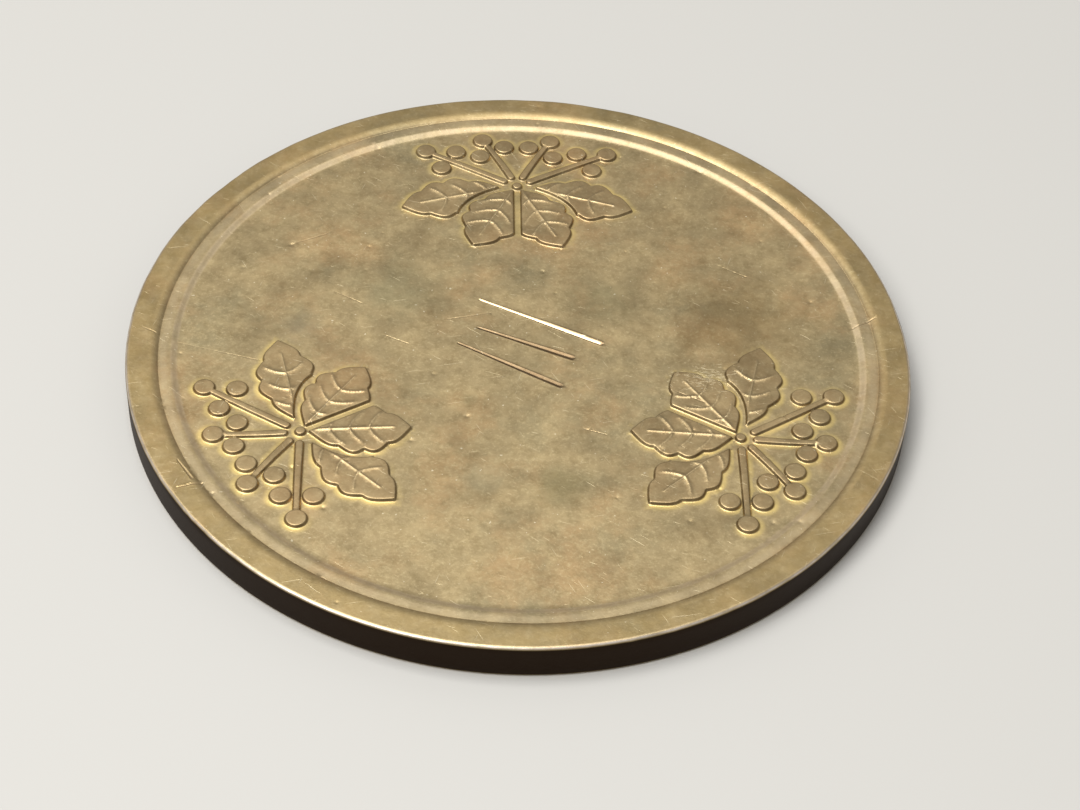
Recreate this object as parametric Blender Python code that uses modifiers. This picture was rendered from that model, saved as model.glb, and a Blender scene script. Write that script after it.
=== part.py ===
"""A struck bronze medal: one round piece of metal with a raised border, a ledge and a sunk field on
both faces, three leaf-and-berry sprays in low relief and three scribed tally strokes on the upper face.

Metres, +Z up. The origin is the centre of the lower face's border plane, on the medal's axis.
"""

import math

import bmesh
import bpy
import numpy as np
from mathutils import Matrix

MM = 0.001

# Blank and borders, the same on both faces
MEDAL_DIAMETER = 30.0 * MM
MEDAL_THICKNESS = 1.5 * MM
EDGE_ROUNDING = 0.12 * MM
BORDER_WIDTH = 0.85 * MM
BORDER_SLOPE_WIDTH = 0.37 * MM
LEDGE_WIDTH = 0.43 * MM
LEDGE_SLOPE_WIDTH = 0.32 * MM
LEDGE_DROP = 0.12 * MM
FIELD_DROP = 0.10 * MM

# Sprays in relief. Leaf angles are counted from the medal's centre, stem angles from its border
SPRAY_COUNT = 3
SPRAY_EDGE_GAP = 0.32 * MM
RELIEF_HEIGHT = 0.13 * MM
INNER_LEAF = {"angle": 26.0, "start": 0.30 * MM, "length": 4.10 * MM, "width": 2.30 * MM}
OUTER_LEAF = {"angle": 73.0, "start": 0.62 * MM, "length": 4.90 * MM, "width": 2.15 * MM}
LOBES_A_SIDE = 4
LOBE_DEPTH = 0.20
CHANNEL_WIDTH = 0.30 * MM
UPRIGHT_STEM = {"angle": 22.0, "length": 3.10 * MM, "berries": ((0.72, 1), (0.78, -1), (1.0, 0))}
SPREAD_STEM = {"angle": 60.0, "length": 4.20 * MM, "berries": ((0.76, 1), (0.74, -1), (1.0, 0))}
STEM_START = 0.62 * MM
STEM_WIDTH = 0.32 * MM
STEM_HEIGHT = 0.11 * MM
STEM_BOW = 0.03 / MM
BERRY_RADIUS = 0.40 * MM
BERRY_STEM_GAP = 0.06 * MM
KNOT_RADIUS = 0.20 * MM

# Tally strokes, scribed side by side
STROKES = (
    {"length": 5.2 * MM, "direction": -27.0},
    {"length": 3.9 * MM, "direction": -24.0},
    {"length": 4.4 * MM, "direction": -30.0},
)
STROKE_GROUP_CENTRE = (0.20 * MM, 0.25 * MM)
STROKE_SPACING = 1.35 * MM
STROKE_DEEP_END = 0.13 * MM
STROKE_SHARP_END = 0.03 * MM

# How far the tool solids run past the surfaces that they join or cut
RELIEF_ROOT = 0.30 * MM
CUT_ABOVE = 0.50 * MM
CUT_BELOW = 0.60 * MM

# Facets
TURN_STEPS = 120
ROUNDING_STEPS = 3
POINTS_A_LOBE = 4
ROUND_POINTS = 14
STEM_POINTS_A_SIDE = 5

# Worked out from the sizes above
OUTER_RADIUS = MEDAL_DIAMETER / 2
BORDER_INNER_RADIUS = OUTER_RADIUS - BORDER_WIDTH
LEDGE_OUTER_RADIUS = BORDER_INNER_RADIUS - BORDER_SLOPE_WIDTH
LEDGE_INNER_RADIUS = LEDGE_OUTER_RADIUS - LEDGE_WIDTH
FIELD_RADIUS = LEDGE_INNER_RADIUS - LEDGE_SLOPE_WIDTH
TOP_LEDGE_Z = MEDAL_THICKNESS - LEDGE_DROP
TOP_FIELD_Z = TOP_LEDGE_Z - FIELD_DROP
BOTTOM_LEDGE_Z = LEDGE_DROP
BOTTOM_FIELD_Z = LEDGE_DROP + FIELD_DROP
SPRAY_REACH = UPRIGHT_STEM["length"] * math.cos(math.radians(UPRIGHT_STEM["angle"])) + BERRY_RADIUS
SPRAY_JOINT_RADIUS = FIELD_RADIUS - SPRAY_EDGE_GAP - SPRAY_REACH


def clear_scene():
    for obj in list(bpy.data.objects):
        bpy.data.objects.remove(obj)


def new_collection(name, hidden=False):
    collection = bpy.data.collections.new(name)
    collection.hide_render = hidden
    bpy.context.scene.collection.children.link(collection)
    return collection


def turned_to(degrees):
    return Matrix.Rotation(math.radians(degrees), 4, "Z")


def patinated_bronze():
    material = bpy.data.materials.new("patinated_bronze")
    material.use_nodes = True
    shader = material.node_tree.nodes["Principled BSDF"]
    shader.inputs["Base Color"].default_value = (0.36, 0.27, 0.14, 1.0)
    shader.inputs["Metallic"].default_value = 1.0
    shader.inputs["Roughness"].default_value = 0.42
    return material


def quarter_round(centre_r, centre_z, start_degrees):
    """Points of an outer corner, a quarter turn clockwise in the profile's plane."""
    angles = np.radians(np.linspace(start_degrees, start_degrees - 90, ROUNDING_STEPS + 1))
    return [
        (centre_r + EDGE_ROUNDING * math.cos(a), centre_z + EDGE_ROUNDING * math.sin(a)) for a in angles
    ]


def blank_profile():
    """Half of the medal's section as (radius, height), from the upper face's centre round to the lower's."""
    upper_face = [
        (0.0, TOP_FIELD_Z),
        (FIELD_RADIUS, TOP_FIELD_Z),
        (LEDGE_INNER_RADIUS, TOP_LEDGE_Z),
        (LEDGE_OUTER_RADIUS, TOP_LEDGE_Z),
        (BORDER_INNER_RADIUS, MEDAL_THICKNESS),
    ]
    lower_face = [
        (BORDER_INNER_RADIUS, 0.0),
        (LEDGE_OUTER_RADIUS, BOTTOM_LEDGE_Z),
        (LEDGE_INNER_RADIUS, BOTTOM_LEDGE_Z),
        (FIELD_RADIUS, BOTTOM_FIELD_Z),
        (0.0, BOTTOM_FIELD_Z),
    ]
    corner_r = OUTER_RADIUS - EDGE_ROUNDING
    upper_corner = quarter_round(corner_r, MEDAL_THICKNESS - EDGE_ROUNDING, 90)
    lower_corner = quarter_round(corner_r, EDGE_ROUNDING, 0)
    return upper_face + upper_corner + lower_corner + lower_face


def turned_blank(collection):
    """The whole blank, turned from its half section about the vertical axis."""
    points = [(r, 0.0, z) for r, z in blank_profile()]
    edges = [(i, i + 1) for i in range(len(points) - 1)]
    mesh = bpy.data.meshes.new("medal")
    mesh.from_pydata(points, edges, [])
    medal = bpy.data.objects.new("medal", mesh)
    collection.objects.link(medal)
    turn = medal.modifiers.new("turn", "SCREW")
    turn.axis = "Z"
    turn.steps = TURN_STEPS
    turn.render_steps = TURN_STEPS
    turn.use_merge_vertices = True
    turn.merge_threshold = 0.001 * MM
    return medal


def tool(name, mesh, place, collection):
    """A solid that only shapes the medal and isn't a piece itself."""
    solid = bpy.data.objects.new(name, mesh)
    solid.matrix_world = place
    solid.hide_render = True
    solid.display_type = "WIRE"
    collection.objects.link(solid)
    return solid


def outline_tool(name, outline, place, collection, above, below):
    """A flat outline made solid from `below` the field to `above` it."""
    curve = bpy.data.curves.new(name, "CURVE")
    curve.dimensions = "2D"
    curve.fill_mode = "BOTH"
    curve.extrude = (above + below) / 2
    spline = curve.splines.new("POLY")
    spline.points.add(len(outline) - 1)
    for point, (x, y) in zip(spline.points, outline):
        point.co = (x, y, 0.0, 1.0)
    spline.use_cyclic_u = True
    guide = bpy.data.objects.new(name + "_outline", curve)
    collection.objects.link(guide)
    guide.matrix_world = place @ Matrix.Translation((0.0, 0.0, TOP_FIELD_Z + (above - below) / 2))
    bpy.context.view_layer.update()

    graph = bpy.context.evaluated_depsgraph_get()
    mesh = bpy.data.meshes.new_from_object(guide.evaluated_get(graph))
    shape = bmesh.new()
    shape.from_mesh(mesh)
    bmesh.ops.remove_doubles(shape, verts=shape.verts, dist=0.0005 * MM)
    bmesh.ops.recalc_face_normals(shape, faces=shape.faces)
    shape.to_mesh(mesh)
    shape.free()
    solid = tool(name, mesh, guide.matrix_world.copy(), collection)
    bpy.data.objects.remove(guide)
    return solid


def leaf_outline(leaf, lobe_depth=LOBE_DEPTH, margin=0.0):
    """A pointed leaf along +Y: half its width is a sine hump with a row of round lobes on it.
    A margin makes it that much larger all round."""
    step = np.linspace(0.0, 1.0, LOBES_A_SIDE * POINTS_A_LOBE + 1)
    share = step ** (1 / 1.1)
    lobes = 1.0 + lobe_depth * (np.abs(np.sin(np.pi * LOBES_A_SIDE * step)) - 0.6)
    half = (leaf["width"] / 2 + margin) * np.sin(np.pi * share**1.05).clip(0.0) ** 0.8 * lobes
    along = leaf["start"] - margin + share * (leaf["length"] - leaf["start"] + 2 * margin)
    right = list(zip(half[1:-1], along[1:-1]))
    left = [(-x, y) for x, y in reversed(right)]
    return [(0.0, along[0]), *right, (0.0, along[-1]), *left]


def parting_outline():
    """The straight channel between the two leaves that point inwards."""
    half = CHANNEL_WIDTH / 2
    far = INNER_LEAF["length"]
    return [(-half, -half), (half, -half), (half, far), (-half, far)]


def bowed(x, y):
    """A stem's point, pushed aside with the square of its distance from the joint."""
    return x + STEM_BOW * y * y, y


def stem_outline(stem):
    """A stem that leans to the right of +Y, bows outwards and ends inside its last berry."""
    lean = math.radians(stem["angle"])
    along = np.linspace(STEM_START, stem["length"] - BERRY_RADIUS / 2, STEM_POINTS_A_SIDE)
    edges = []
    for half in (STEM_WIDTH / 2, -STEM_WIDTH / 2):
        x = along * math.sin(lean) + half * math.cos(lean)
        y = along * math.cos(lean) - half * math.sin(lean)
        edges.append([bowed(*point) for point in zip(x, y)])
    return edges[0] + edges[1][::-1]


def round_outline(x, y, radius):
    turn = np.linspace(0.0, 2 * np.pi, ROUND_POINTS, endpoint=False)
    return list(zip(x + radius * np.cos(turn), y + radius * np.sin(turn)))


def berry_outline(stem, share, hand):
    """A round berry on a right-hand stem's tip, or standing just free of it on one hand."""
    lean = math.radians(stem["angle"])
    aside = hand * (STEM_WIDTH / 2 + BERRY_STEM_GAP + BERRY_RADIUS)
    x = share * stem["length"] * math.sin(lean) + aside * math.cos(lean)
    y = share * stem["length"] * math.cos(lean) - aside * math.sin(lean)
    x, y = bowed(x, y)
    return round_outline(x, y, BERRY_RADIUS)


def mirrored(outline):
    return [(-x, y) for x, y in reversed(outline)]


def cut_from(obj, cutter):
    cut = obj.modifiers.new(cutter.name, "BOOLEAN")
    cut.operation = "DIFFERENCE"
    cut.object = cutter
    cut.solver = "EXACT"


def leaves(name, joint, relief, channels):
    """Two pairs of leaves that point inwards. A channel parts the first pair, and another runs round it."""
    inwards = joint @ turned_to(180.0)
    parting = outline_tool(f"{name}_parting", parting_outline(), inwards, channels, CUT_ABOVE, CUT_BELOW)
    for side, hand in ((-1, "left"), (1, "right")):
        inner_place = inwards @ turned_to(side * INNER_LEAF["angle"])
        outer_place = inwards @ turned_to(side * OUTER_LEAF["angle"])
        inner = outline_tool(
            f"{name}_inner_leaf_{hand}", leaf_outline(INNER_LEAF), inner_place, relief,
            RELIEF_HEIGHT, RELIEF_ROOT,
        )
        around_inner = outline_tool(
            f"{name}_channel_{hand}", leaf_outline(INNER_LEAF, 0.0, CHANNEL_WIDTH), inner_place, channels,
            CUT_ABOVE, CUT_BELOW,
        )
        outer = outline_tool(
            f"{name}_outer_leaf_{hand}", leaf_outline(OUTER_LEAF), outer_place, relief,
            RELIEF_HEIGHT, RELIEF_ROOT,
        )
        cut_from(inner, parting)
        cut_from(outer, around_inner)


def berried_stems(name, joint, relief):
    """Two pairs of stems that point to the border, each with its berries."""
    for form, stem in (("upright", UPRIGHT_STEM), ("spread", SPREAD_STEM)):
        for hand, sided in (("right", list), ("left", mirrored)):
            stem_name = f"{name}_{form}_stem_{hand}"
            outline_tool(stem_name, sided(stem_outline(stem)), joint, relief, STEM_HEIGHT, RELIEF_ROOT)
            for number, (share, aside) in enumerate(stem["berries"]):
                outline = sided(berry_outline(stem, share, aside))
                berry_name = f"{stem_name}_berry{number}"
                outline_tool(berry_name, outline, joint, relief, RELIEF_HEIGHT, RELIEF_ROOT)


def spray(index, relief, channels):
    turned = turned_to(index * 360.0 / SPRAY_COUNT)
    joint = turned @ Matrix.Translation((0.0, SPRAY_JOINT_RADIUS, 0.0))
    leaves(f"spray{index}", joint, relief, channels)
    berried_stems(f"spray{index}", joint, relief)
    knot = round_outline(0.0, 0.0, KNOT_RADIUS)
    outline_tool(f"spray{index}_knot", knot, joint, relief, RELIEF_HEIGHT, RELIEF_ROOT)


def tally_stroke(index, collection):
    """A four-sided cone lying in the field, one corner down: a V groove that starts fine and ends deep."""
    stroke = STROKES[index]
    shape = bmesh.new()
    bmesh.ops.create_cone(
        shape,
        cap_ends=True,
        segments=4,
        radius1=STROKE_SHARP_END,
        radius2=STROKE_DEEP_END,
        depth=stroke["length"],
    )
    mesh = bpy.data.meshes.new(f"tally_stroke{index}")
    shape.to_mesh(mesh)
    shape.free()
    row = index - (len(STROKES) - 1) / 2
    group = Matrix.Translation((*STROKE_GROUP_CENTRE, TOP_FIELD_Z)) @ turned_to(STROKES[0]["direction"])
    lean = turned_to(stroke["direction"] - STROKES[0]["direction"])
    laid_down = Matrix.Rotation(math.radians(90), 4, "Y")
    place = group @ Matrix.Translation((0.0, -row * STROKE_SPACING, 0.0)) @ lean @ laid_down
    tool(f"tally_stroke{index}", mesh, place, collection)


def boolean_with_all(obj, name, operation, collection):
    joined = obj.modifiers.new(name, "BOOLEAN")
    joined.operation = operation
    joined.operand_type = "COLLECTION"
    joined.collection = collection
    joined.solver = "EXACT"


def build():
    clear_scene()
    parts = new_collection("medal")
    relief = new_collection("relief_tools", hidden=True)
    channels = new_collection("channel_tools", hidden=True)
    grooves = new_collection("groove_tools", hidden=True)
    medal = turned_blank(parts)
    medal.data.materials.append(patinated_bronze())
    for index in range(SPRAY_COUNT):
        spray(index, relief, channels)
    for index in range(len(STROKES)):
        tally_stroke(index, grooves)
    boolean_with_all(medal, "sprays", "UNION", relief)
    boolean_with_all(medal, "strokes", "DIFFERENCE", grooves)


build()
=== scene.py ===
import math

import bpy
import numpy as np
from mathutils import Matrix, Vector
from mathutils.geometry import delaunay_2d_cdt


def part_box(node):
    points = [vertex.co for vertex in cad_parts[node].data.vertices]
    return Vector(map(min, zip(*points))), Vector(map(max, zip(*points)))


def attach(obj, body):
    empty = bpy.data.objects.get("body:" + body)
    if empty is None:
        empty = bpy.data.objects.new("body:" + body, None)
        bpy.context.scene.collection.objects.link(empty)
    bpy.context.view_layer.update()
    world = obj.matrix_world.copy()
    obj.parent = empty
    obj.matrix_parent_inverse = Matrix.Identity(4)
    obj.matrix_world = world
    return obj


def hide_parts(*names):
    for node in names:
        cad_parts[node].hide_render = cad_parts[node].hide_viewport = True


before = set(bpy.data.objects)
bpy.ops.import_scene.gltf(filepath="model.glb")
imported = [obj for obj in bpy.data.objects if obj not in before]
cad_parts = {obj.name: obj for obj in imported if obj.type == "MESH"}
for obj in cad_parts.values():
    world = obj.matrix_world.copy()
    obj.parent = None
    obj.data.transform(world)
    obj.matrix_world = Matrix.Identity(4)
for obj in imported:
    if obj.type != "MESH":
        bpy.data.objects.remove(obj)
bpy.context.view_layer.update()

# ---------------------------------------------------------------------------------------------------
# The medal is one piece of bronze: a round blank struck cold between two dies, which leave a flat
# border, a narrow ledge inside it and a sunk field on both faces, and three sprays in low relief on
# the upper one. Nothing is fixed to it. Its sizes are in millimetres until the mesh is made.
MM = 0.001
lowest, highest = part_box("medal")
OUTER_RADIUS = (highest[0] - lowest[0]) / 2 / MM
THICKNESS = (highest[2] - lowest[2]) / MM
EDGE_ROUNDING = 0.12
BORDER_INNER = OUTER_RADIUS - 0.85
LEDGE_OUTER = BORDER_INNER - 0.37
LEDGE_INNER = LEDGE_OUTER - 0.43
FIELD_RADIUS = LEDGE_INNER - 0.32
LEDGE_DROP = 0.12
FIELD_DROP = 0.10
LEDGE_FALL_POWER = 2.3
SLOPE_ROWS = np.array([0.0, 0.02, 0.045, 0.075, 0.11, 0.15, 0.20, 0.27, 0.37])
TURN_STEPS = 360


def eased(value, start, end):
    """0 at start, 1 at end, and between them three times the share squared less twice its cube."""
    share = np.clip((value - start) / (end - start), 0.0, 1.0)
    return share * share * (3.0 - 2.0 * share)


def face_drop(radius):
    """How far a face lies under its border. The border falls slowly and then steeply to the ledge, as
    the way there to a power over two, and stops short; the slope from the ledge to the field is eased."""
    way = np.clip((BORDER_INNER - radius) / (BORDER_INNER - LEDGE_OUTER), 0.0, 1.0)
    into_ledge = way**LEDGE_FALL_POWER
    into_field = 1.0 - eased(radius, FIELD_RADIUS, LEDGE_INNER)
    return LEDGE_DROP * into_ledge + FIELD_DROP * into_field


# The sprays: each has two pairs of leaves that lean towards the medal's centre and two pairs of
# berried stems that lean towards the border, all sunk into the die by hand, so they stand up flat
# topped with steep sides and a small hollow at the foot.
SPRAY_COUNT = 3
SPRAY_EDGE_GAP = 0.32
RELIEF_HEIGHT = 0.13
STEM_RELIEF = 0.11
CHANNEL = 0.30
INNER_LEAF = {"lean": 26.0, "start": 0.30, "length": 4.10, "width": 2.30}
OUTER_LEAF = {"lean": 73.0, "start": 0.62, "length": 4.90, "width": 2.15}
LEAF_SKEW = 1.05
LEAF_FULLNESS = 0.8
LOBES = 4
LOBE_DEPTH = 0.20
LOBE_SKEW = 1.1
LOBE_LEVEL = 0.6
VEIN_SHARES = (0.26, 0.44, 0.62)
MIDRIB_START = 0.25
MIDRIB_SHARE = 0.84
MIDRIB_FADE = 0.4
SIDE_VEIN_FADE = 0.6
VEIN_HEIGHT = 0.042
VEIN_HALF_WIDTH = 0.037
VEIN_LEAN = 0.25
VEIN_CURVE = 0.50
STEM_START = 0.62
STEM_WIDTH = 0.32
STEM_TAPER = 0.2
STEM_BOW = 0.03
BERRY_RADIUS = 0.40
BERRY_STEM_GAP = 0.06
KNOT_RADIUS = 0.20
UPRIGHT_STEM = {"lean": 22.0, "length": 3.10, "berries": ((0.72, 1), (0.78, -1), (1.0, 0))}
SPREAD_STEM = {"lean": 60.0, "length": 4.20, "berries": ((0.76, 1), (0.74, -1), (1.0, 0))}
SPRAY_REACH = UPRIGHT_STEM["length"] * math.cos(math.radians(UPRIGHT_STEM["lean"])) + BERRY_RADIUS
SPRAY_JOINT_RADIUS = FIELD_RADIUS - SPRAY_EDGE_GAP - SPRAY_REACH
FAR_AWAY = 99.0


def leaf_axes(leaf, x, y):
    """Distances along and across a right-hand leaf, whose axis leans from -Y towards +X."""
    lean = math.radians(leaf["lean"])
    along = x * math.sin(lean) - y * math.cos(lean)
    across = x * math.cos(lean) + y * math.sin(lean)
    return along, across


def leaf_half_width(leaf, share, lobe_depth):
    """Half the leaf's width: a sine hump, fuller near its foot, times one plus a row of round lobes."""
    share = np.clip(share, 0.0, 1.0)
    hump = np.sin(np.pi * share**LEAF_SKEW).clip(0.0) ** LEAF_FULLNESS
    lobes = np.abs(np.sin(np.pi * LOBES * share**LOBE_SKEW)) - LOBE_LEVEL
    return leaf["width"] / 2 * hump * (1.0 + lobe_depth * lobes)


def leaf_gap(leaf, x, y, lobe_depth=LOBE_DEPTH):
    """Distance outside the leaf's outline, below zero inside: the sideways gap over the length of the
    outline's slope, or past the two ends the straight distance to the axis's end."""
    along, across = leaf_axes(leaf, x, y)
    blade = leaf["length"] - leaf["start"]
    share = (along - leaf["start"]) / blade
    half = leaf_half_width(leaf, share, lobe_depth)
    step = 0.01
    ahead = leaf_half_width(leaf, share + step, lobe_depth)
    behind = leaf_half_width(leaf, share - step, lobe_depth)
    slope = np.clip((ahead - behind) / (2 * step * blade), -2.0, 2.0)
    sideways = (np.abs(across) - half) / np.sqrt(1.0 + slope * slope)
    past_end = np.maximum(-share, share - 1.0) * blade
    return np.where(past_end > 0.0, np.hypot(across, past_end), sideways)


def inner_leaves_gap(x, y):
    """Distance outside the two leaves nearest the centre line, which a straight channel parts."""
    side = np.abs(x)
    return np.maximum(leaf_gap(INNER_LEAF, side, y), CHANNEL / 2 - side)


def outer_leaves_gap(x, y):
    """Distance outside the two outer leaves, which end at a channel round the inner ones."""
    side = np.abs(x)
    return np.maximum(leaf_gap(OUTER_LEAF, side, y), CHANNEL - leaf_gap(INNER_LEAF, side, y, 0.0))


def leaves_gap(x, y):
    """Distance outside the four leaves."""
    return np.minimum(inner_leaves_gap(x, y), outer_leaves_gap(x, y))


def stems_gap(x, y):
    """Distance outside the bowed stems: each is a tapered round-ended bar after x loses bow * y * y."""
    side = np.abs(x) - np.where(y > 0.0, STEM_BOW * y * y, 0.0)
    nearest = np.full(np.shape(x), FAR_AWAY)
    for stem in (UPRIGHT_STEM, SPREAD_STEM):
        lean = math.radians(stem["lean"])
        along = side * math.sin(lean) + y * math.cos(lean)
        across = side * math.cos(lean) - y * math.sin(lean)
        held = np.clip(along, STEM_START, stem["length"] - BERRY_RADIUS / 2)
        half = STEM_WIDTH / 2 * (1.0 - STEM_TAPER * held / stem["length"])
        nearest = np.minimum(nearest, np.hypot(along - held, across) - half)
    return nearest


def berry_centres(stem):
    """Centres of the berries of a right-hand stem: one on its tip and two standing free beside it."""
    lean = math.radians(stem["lean"])
    for share, hand in stem["berries"]:
        aside = hand * (STEM_WIDTH / 2 + BERRY_STEM_GAP + BERRY_RADIUS)
        y = share * stem["length"] * math.cos(lean) - aside * math.sin(lean)
        x = share * stem["length"] * math.sin(lean) + aside * math.cos(lean)
        yield x + STEM_BOW * y * y, y


def berries_gap(x, y):
    """Distance outside the round berries and the knot that all the stems and leaves grow from."""
    nearest = np.hypot(x, y) - KNOT_RADIUS
    for stem in (UPRIGHT_STEM, SPREAD_STEM):
        for centre_x, centre_y in berry_centres(stem):
            nearest = np.minimum(nearest, np.hypot(np.abs(x) - centre_x, y - centre_y) - BERRY_RADIUS)
    return nearest


def spray_gap(x, y):
    """Distance outside everything in the spray."""
    return np.minimum(leaves_gap(x, y), np.minimum(stems_gap(x, y), berries_gap(x, y)))


def vein_along(start, across):
    """A side vein's place along the leaf: it leaves the midrib at start and curves towards the tip."""
    return start + VEIN_LEAN * np.abs(across) + VEIN_CURVE * across * across


def veins(x, y):
    """Height of the raised veins: a round ridge on each leaf's axis and on each curved side vein,
    thinner towards its end, and none near the leaf's edge."""
    side = np.abs(x)
    height = np.zeros(np.shape(x))
    for leaf, gap in ((INNER_LEAF, inner_leaves_gap), (OUTER_LEAF, outer_leaves_gap)):
        along, across = leaf_axes(leaf, side, y)
        end = leaf["length"] * MIDRIB_SHARE
        held = np.clip(along, leaf["start"] + MIDRIB_START, end)
        ridges = np.exp(-((np.hypot(along - held, across) / VEIN_HALF_WIDTH) ** 2))
        ridges = ridges * (1.0 - MIDRIB_FADE * np.clip(along / end, 0.0, 1.0))
        outwards = np.abs(across) / (leaf["width"] / 2)
        slope = VEIN_LEAN + 2.0 * VEIN_CURVE * np.abs(across)
        for share in VEIN_SHARES:
            off = (along - vein_along(leaf["length"] * share, across)) / np.sqrt(1.0 + slope * slope)
            strength = (1.0 - SIDE_VEIN_FADE * outwards) * (1.0 - eased(outwards, 0.60, 0.78))
            ridges = np.maximum(ridges, strength * np.exp(-((off / VEIN_HALF_WIDTH) ** 2)))
        height = np.maximum(height, VEIN_HEIGHT * ridges * eased(-gap(x, y), 0.06, 0.16))
    return height


WALL_SOFTNESS = 0.009
CROWN = 0.004
FOOT_HOLLOW = 0.007
FOOT_WIDTH = 0.10


def spray_relief(x, y):
    """Height of a spray over the field: each shape's full height times a steep even step at its outline,
    a slight crown, the veins, and a thin fillet at the foot."""
    height = np.zeros(np.shape(x))
    for gap, full in ((leaves_gap, RELIEF_HEIGHT), (berries_gap, RELIEF_HEIGHT), (stems_gap, STEM_RELIEF)):
        distance = gap(x, y)
        step = 1.0 / (1.0 + np.exp(np.clip(distance / WALL_SOFTNESS, -30.0, 30.0)))
        crown = CROWN * (eased(-distance, 0.0, 0.25) - 1.0)
        height = np.maximum(height, (full + crown) * step)
    outside = np.maximum(spray_gap(x, y), 0.0)
    return height + veins(x, y) + FOOT_HOLLOW * np.exp(-outside / FOOT_WIDTH)


def spray_views(x, y):
    """The point as each spray sees it: turned back by its share of a circle, then moved to its joint."""
    for number in range(SPRAY_COUNT):
        turn = 2 * math.pi * number / SPRAY_COUNT
        local_x = x * math.cos(turn) + y * math.sin(turn)
        local_y = y * math.cos(turn) - x * math.sin(turn) - SPRAY_JOINT_RADIUS
        yield local_x, local_y


# The grooves: three tally strokes scribed side by side in the field with a hard point, which starts
# light and ends deep and pushes up a burr on both sides, and the fine scratches of years of handling.
STROKES = (
    {"length": 5.2, "direction": -27.0, "half_width": 0.090, "depth": 0.070, "tilt": 0.50, "fresh": 1.0},
    {"length": 3.9, "direction": -24.0, "half_width": 0.100, "depth": 0.045, "tilt": -0.12, "fresh": 0.15},
    {"length": 4.4, "direction": -30.0, "half_width": 0.095, "depth": 0.050, "tilt": -0.12, "fresh": 0.15},
)
STROKE_CENTRE = (0.20, 0.25)
STROKE_SPACING = 1.35
STROKE_SHARP_SHARE = 0.55
# Start, end, half width and depth of each scratch
SCRATCHES = (
    ((-13.10, -0.05), (-9.90, -0.95), 0.022, 0.005),
    ((-14.45, 0.55), (-13.95, 0.30), 0.040, 0.010),
    ((-12.55, -6.35), (-11.95, -7.25), 0.060, 0.030),
    ((-12.45, -7.75), (-11.60, -7.45), 0.060, 0.030),
    ((-7.20, 2.95), (-6.10, 2.30), 0.028, 0.008),
    ((-5.20, 0.55), (-4.30, 0.10), 0.030, 0.010),
    ((5.90, -2.40), (6.90, -2.95), 0.035, 0.012),
    ((13.00, 1.30), (13.90, 1.75), 0.045, 0.018),
    ((-1.10, 1.90), (-2.80, 1.50), 0.028, 0.008),
    ((2.30, -4.30), (3.20, -4.60), 0.028, 0.008),
    ((-9.20, 5.60), (-7.60, 6.40), 0.028, 0.008),
    ((7.90, 4.90), (9.10, 4.20), 0.028, 0.008),
)
SCRATCH_SHARP_SHARE = 0.6
SCRATCH_FRESH = 0.30
SCRATCH_LIP = 0.10
FLOOR_FLATNESS = 2.5
BURR_HEIGHT = 0.16
LIP_DARKNESS = 1.1


def groove_list():
    """Every groove: its ends, the half width and depth at its deep end, how much of them the other end
    has, how far its floor tilts, how fresh its metal looks and how dark its lips are."""
    grooves = []
    lean = math.radians(STROKES[0]["direction"])
    for number, stroke in enumerate(STROKES):
        aside = (number - (len(STROKES) - 1) / 2) * STROKE_SPACING
        middle = np.array(STROKE_CENTRE) + aside * np.array([math.sin(lean), -math.cos(lean)])
        turn = math.radians(stroke["direction"])
        reach = np.array([math.cos(turn), math.sin(turn)]) * stroke["length"] / 2
        size = (stroke["half_width"], stroke["depth"], STROKE_SHARP_SHARE, stroke["tilt"])
        grooves.append((middle - reach, middle + reach, *size, stroke["fresh"], 1.0))
    for start, end, half_width, depth in SCRATCHES:
        looks = (SCRATCH_SHARP_SHARE, 0.0, SCRATCH_FRESH, SCRATCH_LIP)
        grooves.append((np.array(start), np.array(end), half_width, depth, *looks))
    return grooves


GROOVES = groove_list()


def groove_cut(x, y):
    """Height that the grooves add: a flat or tilted floor between steep sides, and the burr beside it.
    Also how much of the metal is freshly cut, and where the dark line at each lip runs."""
    cut = np.zeros(np.shape(x))
    fresh = np.zeros(np.shape(x))
    lips = np.zeros(np.shape(x))
    for start, end, half_width, depth, thin_share, tilt, freshness, lip in GROOVES:
        length = np.hypot(*(end - start))
        way = (end - start) / length
        along = (x - start[0]) * way[0] + (y - start[1]) * way[1]
        across = (y - start[1]) * way[0] - (x - start[0]) * way[1]
        held = np.clip(along, 0.0, length)
        half = half_width * (thin_share + (1.0 - thin_share) * eased(held / length, 0.0, 0.9))
        off = np.hypot(along - held, across) / half
        tilted = 1.0 - tilt * np.clip(across / half, -1.0, 1.0)
        floor_depth = np.clip(1.0 - off**FLOOR_FLATNESS, 0.0, 1.0) * tilted
        burr = BURR_HEIGHT * np.exp(-(((off - 1.3) / 0.28) ** 2))
        cut = cut + depth * half / half_width * (burr - floor_depth)
        fresh = np.maximum(fresh, freshness * (1.0 - eased(off, 0.80, 1.0)))
        beside_lip = np.exp(-(((off - 1.15) / 0.42) ** 2))
        dulled = LIP_DARKNESS * (1.0 - freshness) * (1.0 - eased(off, 0.80, 1.0))
        lips = np.maximum(lips, lip * np.maximum(beside_lip, dulled))
    return cut, fresh, lips


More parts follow.
